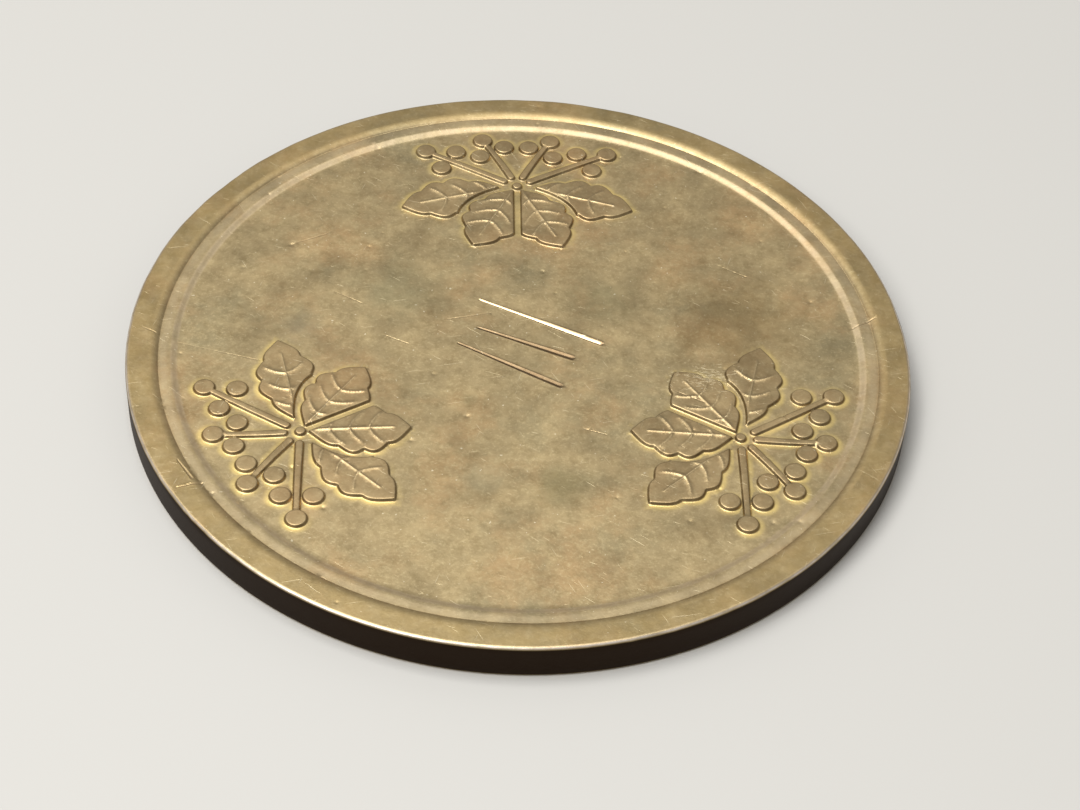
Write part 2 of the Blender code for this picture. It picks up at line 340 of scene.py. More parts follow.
# Knocks: small round dints on the border and the field, each the mark of another hard edge, and a
# slight unevenness that the dies leave in the field.
random = np.random.default_rng(7)
DINT_COUNT = 46
dint_radius_out = np.sqrt(random.uniform(0.05, 0.985, DINT_COUNT)) * (OUTER_RADIUS - 0.3)
dint_turn = random.uniform(0.0, 2 * np.pi, DINT_COUNT)
DINTS = np.stack([dint_radius_out * np.cos(dint_turn), dint_radius_out * np.sin(dint_turn)], 1)
DINT_SIZES = random.uniform(0.05, 0.11, DINT_COUNT)
DINT_DEPTHS = DINT_SIZES * random.uniform(0.10, 0.28, DINT_COUNT)


def dints(x, y):
    """Depth of the dints: each a round bell, deepest in its middle."""
    sunk = np.zeros(np.shape(x))
    for place, size, depth in zip(DINTS, DINT_SIZES, DINT_DEPTHS):
        sunk = sunk + depth * np.exp(-(((x - place[0]) ** 2 + (y - place[1]) ** 2) / (size * size)))
    return sunk


WAVES = random.uniform(-1.0, 1.0, (6, 3)) * np.array([1.1, 1.1, np.pi])
WAVE_HEIGHT = 0.0016


def sway(x, y):
    """A slight unevenness of the struck field: six sine waves that cross it at random."""
    height = np.zeros(np.shape(x))
    for wave_x, wave_y, phase in WAVES:
        height = height + np.sin(wave_x * x + wave_y * y + phase)
    return WAVE_HEIGHT * height


def upper_face(x, y):
    """Height of the upper face: the border's height less the face's drop, plus relief and marks."""
    radius = np.hypot(x, y)
    height = THICKNESS - face_drop(radius)
    for local_x, local_y in spray_views(x, y):
        height = height + spray_relief(local_x, local_y)
    inside_edge = 1.0 - eased(radius, OUTER_RADIUS - EDGE_ROUNDING - 0.12, OUTER_RADIUS - EDGE_ROUNDING)
    cut, _, _ = groove_cut(x, y)
    off_border = 1.0 - eased(radius, FIELD_RADIUS, BORDER_INNER)
    return height + (cut - dints(x, y)) * inside_edge + sway(x, y) * off_border


# The net: points laid close together where the upper face bends and far apart where it is flat, then
# joined into triangles. Spacings are in millimetres.
CLOSEST_POINTS = 0.016
OUTLINE_SPACING = 0.060
RAY_COUNT = 1440
RAY_REACH = 4.6
RAY_STEP = 0.02
HALVINGS = 14


def thinned(points, spacing):
    """Keeps the first point of each square cell, three times over with the cells shifted by half."""
    for shift in ((0.0, 0.0), (0.5, 0.5), (0.0, 0.5)):
        cells = np.floor(points / spacing + shift).astype(np.int64)
        _, first = np.unique(cells, axis=0, return_index=True)
        points = points[np.sort(first)]
    return points


def woven(spacing, reach):
    """Points in rows, every other row shifted by half a step, over a square of the given reach."""
    rows = np.arange(-reach, reach + spacing, spacing * math.sqrt(3) / 2)
    steps = np.arange(-reach, reach + spacing, spacing)
    x, y = np.meshgrid(steps, rows)
    x = x + spacing / 2 * (np.arange(len(rows)) % 2)[:, None]
    return np.stack([x.ravel(), y.ravel()], 1)


def around(gap, centre, spacing):
    """One shape's outline as evenly spaced points: rays from a centre inside it are halved down to the
    place where the gap passes zero, and the closed line through those places is cut into equal steps."""
    turn = np.linspace(0.0, 2 * np.pi, RAY_COUNT + 1)
    ray_x, ray_y = np.cos(turn), np.sin(turn)
    reach = np.arange(RAY_STEP, RAY_REACH, RAY_STEP)[:, None]
    outside = gap(centre[0] + reach * ray_x, centre[1] + reach * ray_y) > 0.0
    far = reach[np.argmax(outside, axis=0), 0]
    near = far - RAY_STEP
    for _ in range(HALVINGS):
        middle = (near + far) / 2
        out = gap(centre[0] + middle * ray_x, centre[1] + middle * ray_y) > 0.0
        far = np.where(out, middle, far)
        near = np.where(out, near, middle)
    line = np.stack([centre[0] + near * ray_x, centre[1] + near * ray_y], 1)
    walked = np.concatenate([[0.0], np.cumsum(np.hypot(*np.diff(line, axis=0).T))])
    count = max(12, int(round(walked[-1] / spacing)))
    steps = np.linspace(0.0, walked[-1], count, endpoint=False)
    return np.stack([np.interp(steps, walked, line[:, 0]), np.interp(steps, walked, line[:, 1])], 1)


OUTLINE_STEPS = (-0.16, -0.10, -0.06, -0.032, -0.012, 0.012, 0.032, 0.06, 0.10, 0.17, 0.26, 0.37)


def beside(gap, outline):
    """The outline's points moved square to it by each step in turn: the way is the gap's slope."""
    step = 0.004
    x, y = outline.T
    slope_x = gap(x + step, y) - gap(x - step, y)
    slope_y = gap(x, y + step) - gap(x, y - step)
    way = np.stack([slope_x, slope_y], 1) / np.maximum(np.hypot(slope_x, slope_y), 1e-9)[:, None]
    lines = []
    for offset in OUTLINE_STEPS:
        line = outline + way * offset
        lines.append(line[np.abs(spray_gap(*line.T) - offset) < 0.012 + 0.1 * abs(offset)])
    return np.concatenate(lines)


def leaf_place(leaf, along, across):
    """The point of a right-hand leaf that is so far along its axis and so far across it."""
    lean = math.radians(leaf["lean"])
    x = along * math.sin(lean) + across * math.cos(lean)
    y = across * math.sin(lean) - along * math.cos(lean)
    return np.stack([x.ravel(), y.ravel()], 1)


def vein_points(spacing):
    """Five lines of points along each vein, on its crest, its sides and its feet."""
    sides = []
    offsets = VEIN_HALF_WIDTH * np.array([-1.9, -0.9, 0.0, 0.9, 1.9])
    for leaf, gap in ((INNER_LEAF, inner_leaves_gap), (OUTER_LEAF, outer_leaves_gap)):
        along = np.arange(leaf["start"] + 0.2, leaf["length"] * 0.86, spacing)
        lines = [leaf_place(leaf, along[:, None] + 0.0 * offsets, offsets + 0.0 * along[:, None])]
        across = np.arange(-0.80, 0.81, spacing) * leaf["width"] / 2
        for share in VEIN_SHARES:
            along = vein_along(leaf["length"] * share, across)[:, None] + offsets * 1.15
            lines.append(leaf_place(leaf, along, across[:, None] + 0.0 * offsets))
        points = np.concatenate(lines)
        sides.append(points[(gap(*points.T) < -0.06) & (points[:, 0] > 0.0)])
    right = np.concatenate(sides)
    return np.concatenate([right, right * np.array([-1.0, 1.0])])


def stem_points(spacing):
    """A line of points along the middle of each stem, with the bow added back."""
    lines = []
    for stem in (UPRIGHT_STEM, SPREAD_STEM):
        lean = math.radians(stem["lean"])
        along = np.arange(STEM_START, stem["length"], spacing)
        y = along * math.cos(lean)
        x = along * math.sin(lean) + STEM_BOW * y * y
        lines += [np.stack([x, y], 1), np.stack([-x, y], 1)]
    return np.concatenate(lines)


def stem_outline(stem, spacing):
    """The two sides of a right-hand stem, which taper and bow, between its foot and its tip berry."""
    lean = math.radians(stem["lean"])
    along = np.arange(STEM_START, stem["length"] - BERRY_RADIUS, spacing)
    half = STEM_WIDTH / 2 * (1.0 - STEM_TAPER * along / stem["length"])
    sides = []
    for across in (half, -half):
        y = along * math.cos(lean) - across * math.sin(lean)
        x = along * math.sin(lean) + across * math.cos(lean) + STEM_BOW * y * y
        sides.append(np.stack([x, y], 1))
    cap = np.radians(np.linspace(110.0, 250.0, 9))
    foot_along = STEM_START + half[0] * np.cos(cap)
    foot_across = half[0] * np.sin(cap)
    y = foot_along * math.cos(lean) - foot_across * math.sin(lean)
    x = foot_along * math.sin(lean) + foot_across * math.cos(lean) + STEM_BOW * y * y
    sides.append(np.stack([x, y], 1))
    return np.concatenate(sides)


def spray_net():
    """Every point of one spray, in its own frame: lines beside its outlines and along its veins, and a
    weave between them and over the foot of the relief."""
    right = []
    for leaf, gap in ((INNER_LEAF, inner_leaves_gap), (OUTER_LEAF, outer_leaves_gap)):
        middle = leaf_place(leaf, np.array([leaf["length"] * 0.56]), np.array([0.0]))[0]
        right.append(beside(gap, around(gap, middle, OUTLINE_SPACING)))
    turn = np.linspace(0.0, 2 * np.pi, 44, endpoint=False)
    circle = np.stack([np.cos(turn), np.sin(turn)], 1)
    for stem in (UPRIGHT_STEM, SPREAD_STEM):
        for centre in berry_centres(stem):
            right.append(beside(berries_gap, np.array(centre) + circle * BERRY_RADIUS))
        right.append(beside(stems_gap, stem_outline(stem, OUTLINE_SPACING)))
    right = np.concatenate(right)
    right = right[right[:, 0] > 0.0]
    knot = beside(berries_gap, circle[::2] * KNOT_RADIUS)
    weave = woven(0.15, 5.4)
    gap = spray_gap(*weave.T)
    weave = weave[(gap < -0.20) | ((gap > 0.42) & (gap < 0.60))]
    both = np.concatenate([right, right * np.array([-1.0, 1.0]), knot])
    everything = np.concatenate([both, vein_points(0.08), stem_points(0.06), weave])
    return thinned(everything, CLOSEST_POINTS)


def groove_points(spacing):
    """Lines of points along each groove: its bottom, its sides, its lips and the feet of its burrs."""
    shares_out = np.array([-2.2, -1.65, -1.3, -1.0, -0.6, -0.2, 0.2, 0.6, 1.0, 1.3, 1.65, 2.2])
    lines = []
    for start, end, half_width, _, thin_share, *_ in GROOVES:
        length = np.hypot(*(end - start))
        way = (end - start) / length
        along = np.arange(-2.0 * half_width, length + 2.0 * half_width, spacing)
        size = thin_share + (1.0 - thin_share) * eased(along / length, 0.0, 0.9)
        across = (half_width * size)[:, None] * shares_out
        along = along[:, None] + 0.0 * across
        lines.append(np.stack([
            (start[0] + along * way[0] - across * way[1]).ravel(),
            (start[1] + along * way[1] + across * way[0]).ravel(),
        ], 1))
    return np.concatenate(lines)


def dint_points():
    """Three rings of points and a middle in each dint."""
    turn = np.linspace(0.0, 2 * np.pi, 8, endpoint=False)
    spokes = np.stack([np.cos(turn), np.sin(turn)], 1)
    rings = np.concatenate([[[0.0, 0.0]], 0.5 * spokes, spokes, 1.8 * spokes])
    return (DINTS[:, None, :] + rings * DINT_SIZES[:, None, None]).reshape(-1, 2)


def net_points():
    """All points of the upper face inside the outer rounding, in order of importance."""
    one_spray = spray_net()
    parts = [groove_points(0.08)]
    for number in range(SPRAY_COUNT):
        turn = 2 * math.pi * number / SPRAY_COUNT
        x, y = one_spray[:, 0], one_spray[:, 1] + SPRAY_JOINT_RADIUS
        parts.append(np.stack([
            x * math.cos(turn) - y * math.sin(turn),
            x * math.sin(turn) + y * math.cos(turn),
        ], 1))
    parts.append(dint_points())
    marks = np.concatenate(parts)
    ledge_ring_radii = np.concatenate([
        np.linspace(FIELD_RADIUS, LEDGE_INNER, 6),
        LEDGE_OUTER + SLOPE_ROWS,
        [FIELD_RADIUS - 0.15, LEDGE_INNER + 0.16, LEDGE_OUTER - 0.12, LEDGE_OUTER - 0.02],
        BORDER_INNER + np.array([0.14, 0.42, 0.69]),
    ])
    radius, step = np.meshgrid(ledge_ring_radii, np.arange(TURN_STEPS))
    turn = 2 * np.pi / TURN_STEPS * step
    rings = np.stack([(radius * np.cos(turn)).ravel(), (radius * np.sin(turn)).ravel()], 1)
    weave = woven(0.32, FIELD_RADIUS)
    nearest = np.full(len(weave), FAR_AWAY)
    for local_x, local_y in spray_views(*weave.T):
        nearest = np.minimum(nearest, spray_gap(local_x, local_y))
    weave = weave[(np.hypot(*weave.T) < FIELD_RADIUS - 0.25) & (nearest > 0.62)]
    everything = np.concatenate([marks, rings, weave])
    everything = everything[np.hypot(*everything.T) < OUTER_RADIUS - EDGE_ROUNDING - 0.03]
    return thinned(everything, CLOSEST_POINTS)


ring_turn = 2 * np.pi / TURN_STEPS * np.arange(TURN_STEPS)
ring_radius = OUTER_RADIUS - EDGE_ROUNDING
outer_ring = np.stack([ring_radius * np.cos(ring_turn), ring_radius * np.sin(ring_turn)], 1)
flat_points = np.concatenate([outer_ring, net_points()])
flat_vectors = [Vector(point) for point in flat_points.tolist()]
flat_points, _, net_faces, _, _, _ = delaunay_2d_cdt(flat_vectors, [], [], 0, 1e-6)
flat_points = np.array([tuple(p) for p in flat_points])
net_faces = np.array(net_faces)
face_x, face_y = flat_points.T
net_height = upper_face(face_x, face_y)

# The edge and the reverse: the edge is a plain wall with both corners worn round, and the reverse
# repeats the border, the ledge and a plain sunk field.
CORNER_STEPS = 6
corner_turn = np.radians(np.linspace(90.0, 0.0, CORNER_STEPS + 1))
upper_corner = np.stack([
    OUTER_RADIUS - EDGE_ROUNDING + EDGE_ROUNDING * np.cos(corner_turn),
    THICKNESS - EDGE_ROUNDING + EDGE_ROUNDING * np.sin(corner_turn),
], 1)
lower_corner = upper_corner[::-1] * np.array([1.0, -1.0]) + np.array([0.0, THICKNESS])
wall_heights = np.linspace(THICKNESS - EDGE_ROUNDING, EDGE_ROUNDING, 6)[1:-1]
wall = np.stack([np.full(len(wall_heights), OUTER_RADIUS), wall_heights], 1)
reverse_radii = np.concatenate([
    [BORDER_INNER + 0.5],
    LEDGE_OUTER + SLOPE_ROWS[::-1],
    [LEDGE_OUTER - 0.02],
    np.linspace(LEDGE_INNER, FIELD_RADIUS, 7),
    np.linspace(FIELD_RADIUS, 0.0, 17)[1:-1],
])
reverse = np.stack([reverse_radii, face_drop(reverse_radii)], 1)
section = np.concatenate([upper_corner[1:], wall, lower_corner, reverse])

EDGE_WEAR = 0.022
nicks = np.clip(random.normal(0.0, 1.0, TURN_STEPS), 0.0, 2.0)
nicks = sum(np.roll(nicks, step) for step in range(5)) / 4 * (0.6 + 0.4 * np.sin(5.0 * ring_turn + 1.0))
worn_rows = np.zeros(len(section))
worn_rows[:CORNER_STEPS] = np.sin(np.pi * np.arange(1, CORNER_STEPS + 1) / (CORNER_STEPS + 1))
wear = EDGE_WEAR * worn_rows[:, None] * nicks
turned_radius = section[:, :1] - wear
turned_x = turned_radius * np.cos(ring_turn)
turned_y = turned_radius * np.sin(ring_turn)
turned_height = section[:, 1:] - wear
turned_height = turned_height + sway(turned_x + 40.0, turned_y) * (turned_radius < FIELD_RADIUS)

order = np.argsort(np.arctan2(face_y, face_x) % (2 * np.pi))
on_ring = order[np.abs(np.hypot(face_x, face_y)[order] - ring_radius) < 1e-4]
if len(on_ring) != TURN_STEPS:
    raise ValueError("the net's outer ring is broken")
on_ring = np.roll(on_ring, -int(np.argmin(np.abs(face_y[on_ring]) + 9.0 * (face_x[on_ring] < 0.0))))

net_count = len(flat_points)
turned_index = net_count + np.arange(turned_x.size).reshape(turned_x.shape)
rows = np.concatenate([on_ring[None, :], turned_index])
pole = net_count + turned_x.size
above, below = rows[:-1], rows[1:]
band_faces = np.stack([above, below, np.roll(below, -1, 1), np.roll(above, -1, 1)], 2).reshape(-1, 4)
last = rows[-1]
pole_faces = np.stack([last, np.full(TURN_STEPS, pole), np.roll(last, -1)], 1)

points = np.concatenate([
    np.stack([face_x, face_y, net_height], 1),
    np.stack([turned_x.ravel(), turned_y.ravel(), turned_height.ravel()], 1),
    [[0.0, 0.0, LEDGE_DROP + FIELD_DROP]],
])
points[:, 2] += lowest[2] / MM
faces = net_faces.tolist() + band_faces.tolist() + pole_faces.tolist()
mesh = bpy.data.meshes.new("struck_medal")
mesh.from_pydata((points * MM).tolist(), [], faces)
mesh.polygons.foreach_set("use_smooth", np.ones(len(mesh.polygons), bool))
mesh.update()
medal = bpy.data.objects.new("struck_medal", mesh)
bpy.context.scene.collection.objects.link(medal)


# What the finish reads, one number a point for each kind of place: the relief's tops, walls, feet and
# veins, the grooves and their lips, the border, ledge and slopes, the wall, its worn corners, and one
# scuffed patch. Several carry painted light: shade along the relief's walls, at the border's foot and on
# the wall, and highlights at the relief's feet, on the veins and on the worn corners. Distances are in
# millimetres.
FOOT_HIGHLIGHT_REACH = 0.30
RELIEF_WALL_SHADE_REACH = 0.026
BORDER_FOOT_SHADE_REACH = 0.05
CORNER_MIDDLE = 0.035
CORNER_REACH = 0.022
SCUFF_CENTRE = (7.1, -1.5)
SCUFF_REACH = (1.5, 1.0)


def age_marks():
    """Each mark as an eased share of the point's distance from the feature that carries it, or as a
    bell over that distance. The painted highlight at a relief's foot is brighter on the side that
    faces the border."""
    radius = np.maximum(np.hypot(points[:, 0], points[:, 1]), 1e-6)
    height = points[:, 2] - lowest[2] / MM
    upper = np.arange(len(points)) < net_count
    nearest = np.full(len(points), FAR_AWAY)
    for local_x, local_y in spray_views(points[:, 0], points[:, 1]):
        nearest = np.minimum(nearest, spray_gap(local_x, local_y))
    step = 0.01
    outwards = 1 + step / radius
    ahead = np.full(len(points), FAR_AWAY)
    for local_x, local_y in spray_views(points[:, 0] * outwards, points[:, 1] * outwards):
        ahead = np.minimum(ahead, spray_gap(local_x, local_y))
    facing_border = np.clip((ahead - nearest) / step, -1.0, 1.0)
    nearest = np.where(upper, nearest, FAR_AWAY)
    _, fresh, lips = groove_cut(points[:, 0], points[:, 1])
    ridges = np.zeros(len(points))
    for local_x, local_y in spray_views(points[:, 0], points[:, 1]):
        ridges = np.maximum(ridges, veins(local_x, local_y))
    # The painted highlight: a ring on the field just outside each relief's wall
    foot = eased(nearest, 0.02, 0.035) * (1.0 - eased(nearest, 0.08, FOOT_HIGHLIGHT_REACH))
    on_rim = radius > OUTER_RADIUS - EDGE_ROUNDING - 0.001
    below_top = THICKNESS - height
    wall_share = eased(np.minimum(below_top, height), 0.06, 0.11) * on_rim
    corner = np.exp(-(((below_top - CORNER_MIDDLE) / CORNER_REACH) ** 2)) * on_rim
    on_slope = eased(radius, LEDGE_OUTER + 0.04, LEDGE_OUTER + 0.12)
    on_slope = on_slope * (1.0 - eased(radius, BORDER_INNER - 0.1, BORDER_INNER))
    to_field = eased(radius, FIELD_RADIUS, FIELD_RADIUS + 0.08)
    to_field = to_field * (1.0 - eased(radius, LEDGE_INNER - 0.08, LEDGE_INNER))
    on_ledge = eased(radius, LEDGE_INNER - 0.02, LEDGE_INNER + 0.04)
    on_ledge = on_ledge * (1.0 - eased(radius, LEDGE_OUTER - 0.04, LEDGE_OUTER))
    scuff_x = (points[:, 0] - SCUFF_CENTRE[0]) / SCUFF_REACH[0]
    scuff_y = (points[:, 1] - SCUFF_CENTRE[1]) / SCUFF_REACH[1]
    return {
        "relief_top": eased(-nearest, -0.01, 0.04),
        "relief_foot_highlight": foot * (0.5 + 0.5 * facing_border),
        "relief_wall_shade": np.exp(-((nearest / RELIEF_WALL_SHADE_REACH) ** 2)),
        "groove_lip": np.where(upper, lips, 0.0),
        "fresh_cut": np.where(upper, fresh, 0.0),
        "vein": np.where(upper, ridges / VEIN_HEIGHT, 0.0),
        "border": eased(radius, LEDGE_OUTER + 0.1, BORDER_INNER),
        "border_slope": on_slope,
        "border_foot_shade": np.exp(-(((radius - LEDGE_OUTER - 0.02) / BORDER_FOOT_SHADE_REACH) ** 2)),
        "ledge": on_ledge,
        "wall": wall_share,
        "corner_wear_and_highlight": corner,
        "field_slope": to_field,
        "slopes": np.maximum(on_slope, to_field),
        "scuffed": np.exp(-(scuff_x**2) - scuff_y**2),
    }


for name, values in age_marks().items():
    attribute = mesh.attributes.new(name, "FLOAT", "POINT")
    attribute.data.foreach_set("value", values.astype(np.float32))


# Patinated bronze, struck and handled: an even tan skin over yellow metal, clouded grey green and
# brown where the patina is thick, and pale at rubbed edges. Painted into the colour are a yellow
# highlight round the relief's feet and pale highlights on the veins and the worn upper corner, and
# painted shade: dark lines along the relief's walls and at the border's foot, and a near-black edge wall.
def linear(hex_colour):
    """An sRGB hex colour as linear red, green, blue and a full alpha."""
    channels = np.array([int(hex_colour[i:i + 2], 16) for i in (1, 3, 5)]) / 255.0
    low = channels / 12.92
    high = ((channels + 0.055) / 1.055) ** 2.4
    return (*np.where(channels <= 0.04045, low, high).tolist(), 1.0)


def add_node(tree, kind, values=None, **settings):
    """Adds one node. Settings are its own properties, values are numbers or links for its sockets."""
    node = tree.nodes.new(kind)
    for name, setting in settings.items():
        setattr(node, name, setting)
    for socket, value in (values or {}).items():
        if isinstance(value, bpy.types.NodeSocket):
            tree.links.new(value, node.inputs[socket])
        else:
            node.inputs[socket].default_value = value
    return node


PER_MM = 1 / MM
SKIN = "#b7a37b"
# Colour, size in mm, detail, where the cloud starts and is full, how strong, how far it is moved in mm
CLOUDS = (
    ("#958f72", 4.2, 5.0, 0.50, 0.70, 0.40, 1.0),
    ("#c8a577", 3.1, 5.0, 0.48, 0.70, 0.55, 9.0),
    ("#8d7550", 1.4, 6.0, 0.46, 0.76, 0.38, 21.0),
    ("#d2bd90", 0.7, 5.0, 0.44, 0.72, 0.45, 33.0),
    ("#8a7750", 0.30, 4.0, 0.42, 0.78, 0.40, 45.0),
    ("#d6c498", 0.12, 2.0, 0.46, 0.80, 0.50, 57.0),
    ("#f0e4c4", 0.16, 1.0, 0.745, 0.80, 0.80, 71.0),
)
# Centre and reach in mm, colour, strength
STAINS = (
    ((-4.9, 3.2), 2.6, "#84866a", 0.34),
    ((3.2, 2.8), 2.0, "#8a8868", 0.38),
    ((8.4, 1.6), 3.6, "#947a50", 0.46),
    ((1.4, -7.1), 1.6, "#857c56", 0.40),
    ((-8.5, 0.8), 1.4, "#98927c", 0.40),
    ((-1.5, -6.9), 1.3, "#8f8c74", 0.30),
    ((-1.9, -2.8), 0.7, "#6f6a4c", 0.45),
)
# Mark, colour, strength, and whether rubbing has made it patchy
MARKS = (
    ("border", "#a68e5c", 0.55, True),
    ("border_slope", "#99855c", 0.45, True),
    # painted shade: a darker line in the crease at the foot of the border's slope
    ("border_foot_shade", "#8a6c48", 0.25, True),
    ("ledge", "#c8b694", 0.45, True),
    ("field_slope", "#d2c0a4", 0.45, True),
    ("relief_top", "#9b7f5a", 0.45, True),
    # painted highlight: a yellow ring on the field round each relief's foot, stronger on the side that
    # faces the border
    ("relief_foot_highlight", "#ecd28a", 0.90, True),
    # painted shade: a dark brown line along each relief's wall
    ("relief_wall_shade", "#4f3c26", 0.75, True),
    # painted highlight: the raised veins are coloured light, for the light their ridges catch
    ("vein", "#dcc79c", 0.60, True),
    # painted shade: the edge wall is coloured nearly black for the shade it lies in and the dark room it
    # mirrors, over its own darker brown patina
    ("wall", "#21140c", 0.98, False),
    # wear and painted highlight: the upper corner is coloured near white, partly for bared metal and partly
    # for the glint it catches
    ("corner_wear_and_highlight", "#f2e8e0", 0.90, True),
    ("fresh_cut", "#c8b08c", 0.85, False),
    ("groove_lip", "#574331", 0.85, False),
)

bronze = bpy.data.materials.new("patinated_struck_bronze")
bronze.use_nodes = True
tree = bronze.node_tree
shader = tree.nodes["Principled BSDF"]
place = add_node(tree, "ShaderNodeTexCoord").outputs["Object"]
skin = linear(SKIN)
for hex_colour, size, detail, start, full, strength, shift in CLOUDS:
    moved = add_node(tree, "ShaderNodeMapping", {
        "Vector": place, "Location": (shift * MM, -shift * MM, shift * MM),
    })
    cloud = add_node(tree, "ShaderNodeTexNoise", {
        "Vector": moved.outputs[0], "Scale": PER_MM / size, "Detail": detail, "Roughness": 0.6,
    })
    share = add_node(tree, "ShaderNodeMapRange", {
        "Value": cloud.outputs["Fac"], "From Min": start, "From Max": full, "To Max": strength,
    }, interpolation_type="SMOOTHSTEP")
    mixed = add_node(tree, "ShaderNodeMix", {
        0: share.outputs[0], 6: skin, 7: linear(hex_colour),
    }, data_type="RGBA")
    skin = mixed.outputs[2]

ragged = add_node(tree, "ShaderNodeTexNoise", {"Vector": place, "Scale": PER_MM / 1.1, "Detail": 4.0})
for centre, reach, hex_colour, strength in STAINS:
    away = add_node(tree, "ShaderNodeVectorMath", {
        0: place, 1: (centre[0] * MM, centre[1] * MM, THICKNESS * MM),
    }, operation="DISTANCE")
    frayed = add_node(tree, "ShaderNodeMath", {
        0: ragged.outputs["Fac"], 1: reach * MM * 1.2, 2: away.outputs["Value"],
    }, operation="MULTIPLY_ADD")
    share = add_node(tree, "ShaderNodeMapRange", {
        "Value": frayed.outputs[0], "From Min": reach * MM * 1.5, "From Max": reach * MM * 0.7,
        "To Max": strength,
    }, interpolation_type="SMOOTHSTEP")
    mixed = add_node(tree, "ShaderNodeMix", {
        0: share.outputs[0], 6: skin, 7: linear(hex_colour),
    }, data_type="RGBA")
    skin = mixed.outputs[2]

rub = add_node(tree, "ShaderNodeTexNoise", {"Vector": place, "Scale": PER_MM / 0.5, "Detail": 3.0})
rubbed = add_node(tree, "ShaderNodeMapRange", {
    "Value": rub.outputs["Fac"], "From Min": 0.30, "From Max": 0.60, "To Min": 0.45, "To Max": 1.0,
})
for name, hex_colour, strength, is_patchy in MARKS:
    mark = add_node(tree, "ShaderNodeAttribute", attribute_name=name)
    share = add_node(tree, "ShaderNodeMath", {0: mark.outputs["Fac"], 1: strength}, operation="MULTIPLY")
    if is_patchy:
        share = add_node(tree, "ShaderNodeMath", {
            0: share.outputs[0], 1: rubbed.outputs[0],
        }, operation="MULTIPLY")
    mixed = add_node(tree, "ShaderNodeMix", {
        0: share.outputs[0], 6: skin, 7: linear(hex_colour),
    }, data_type="RGBA")
    skin = mixed.outputs[2]

# Hairlines from wiping and handling, a few hundredths of a millimetre wide: five directions all over
# and two short ones that show mostly in the scuffed patch.
# Direction in degrees, length and width in mm, where a line starts, and how much a scuffed place helps
HAIRLINES = (
    (12, 1.6, 0.05, 0.76, 0.0), (-38, 1.1, 0.05, 0.76, 0.0), (71, 0.9, 0.06, 0.77, 0.0),
    (118, 1.2, 0.05, 0.77, 0.0), (160, 0.8, 0.06, 0.76, 0.0),
    (4, 0.32, 0.045, 0.80, 0.24), (-24, 0.26, 0.045, 0.80, 0.22),
)
HAIRLINE_COLOUR = "#e6d8b4"
HAIRLINE_EDGE = 0.05
HAIRLINE_STRENGTH = 0.50
scuffed = add_node(tree, "ShaderNodeAttribute", attribute_name="scuffed").outputs["Fac"]
hairlines = None
for direction, length, width, start, help_here in HAIRLINES:
    turned = add_node(tree, "ShaderNodeMapping", {
        "Vector": place, "Rotation": (0.0, 0.0, math.radians(direction)), "Scale": (length, width, 1.0),
    }, vector_type="TEXTURE")
    streak = add_node(tree, "ShaderNodeTexNoise", {
        "Vector": turned.outputs[0], "Scale": PER_MM, "Detail": 1.0,
    })
    helped = add_node(tree, "ShaderNodeMath", {
        0: scuffed, 1: help_here, 2: streak.outputs["Fac"],
    }, operation="MULTIPLY_ADD")
    line = add_node(tree, "ShaderNodeMapRange", {
        "Value": helped.outputs[0], "From Min": start, "From Max": start + HAIRLINE_EDGE,
    })
    if hairlines is None:
        hairlines = line.outputs[0]
    else:
        both = add_node(tree, "ShaderNodeMath", {0: hairlines, 1: line.outputs[0]}, operation="MAXIMUM")
        hairlines = both.outputs[0]
side_wall = add_node(tree, "ShaderNodeAttribute", attribute_name="wall")
on_faces = add_node(tree, "ShaderNodeMapRange", {
    "Value": side_wall.outputs["Fac"], "To Min": 1.0, "To Max": 0.0,
})
kept_lines = add_node(tree, "ShaderNodeMath", {
    0: hairlines, 1: on_faces.outputs[0],
}, operation="MULTIPLY")
hairlines = kept_lines.outputs[0]
hair_share = add_node(tree, "ShaderNodeMath", {0: hairlines, 1: HAIRLINE_STRENGTH}, operation="MULTIPLY")
mixed = add_node(tree, "ShaderNodeMix", {
    0: hair_share.outputs[0], 6: skin, 7: linear(HAIRLINE_COLOUR),
}, data_type="RGBA")
skin = mixed.outputs[2]
tree.links.new(skin, shader.inputs["Base Color"])

# How dull each place is: the skin varies in patches, fresh cuts shine, the slopes are duller than the
# flats beside them, and the wall is the most matt.
DULL_RANGE = (0.38, 0.54)
FRESH_ROUGHNESS = 0.30
SLOPE_ROUGHNESS = 0.56
WALL_ROUGHNESS = 0.60
gloss = add_node(tree, "ShaderNodeTexNoise", {"Vector": place, "Scale": PER_MM / 1.6, "Detail": 5.0})
dull = add_node(tree, "ShaderNodeMapRange", {
    "Value": gloss.outputs["Fac"], "From Min": 0.30, "From Max": 0.70,
    "To Min": DULL_RANGE[0], "To Max": DULL_RANGE[1],
})
fresh = add_node(tree, "ShaderNodeAttribute", attribute_name="fresh_cut")
shine = add_node(tree, "ShaderNodeMix", {
    0: fresh.outputs["Fac"], 2: dull.outputs[0], 3: FRESH_ROUGHNESS,
})
slopes = add_node(tree, "ShaderNodeAttribute", attribute_name="slopes")
softer = add_node(tree, "ShaderNodeMix", {
    0: slopes.outputs["Fac"], 2: shine.outputs[0], 3: SLOPE_ROUGHNESS,
})
matt = add_node(tree, "ShaderNodeMix", {
    0: side_wall.outputs["Fac"], 2: softer.outputs[0], 3: WALL_ROUGHNESS,
})
tree.links.new(matt.outputs[0], shader.inputs["Roughness"])
shader.inputs["Metallic"].default_value = 1.0

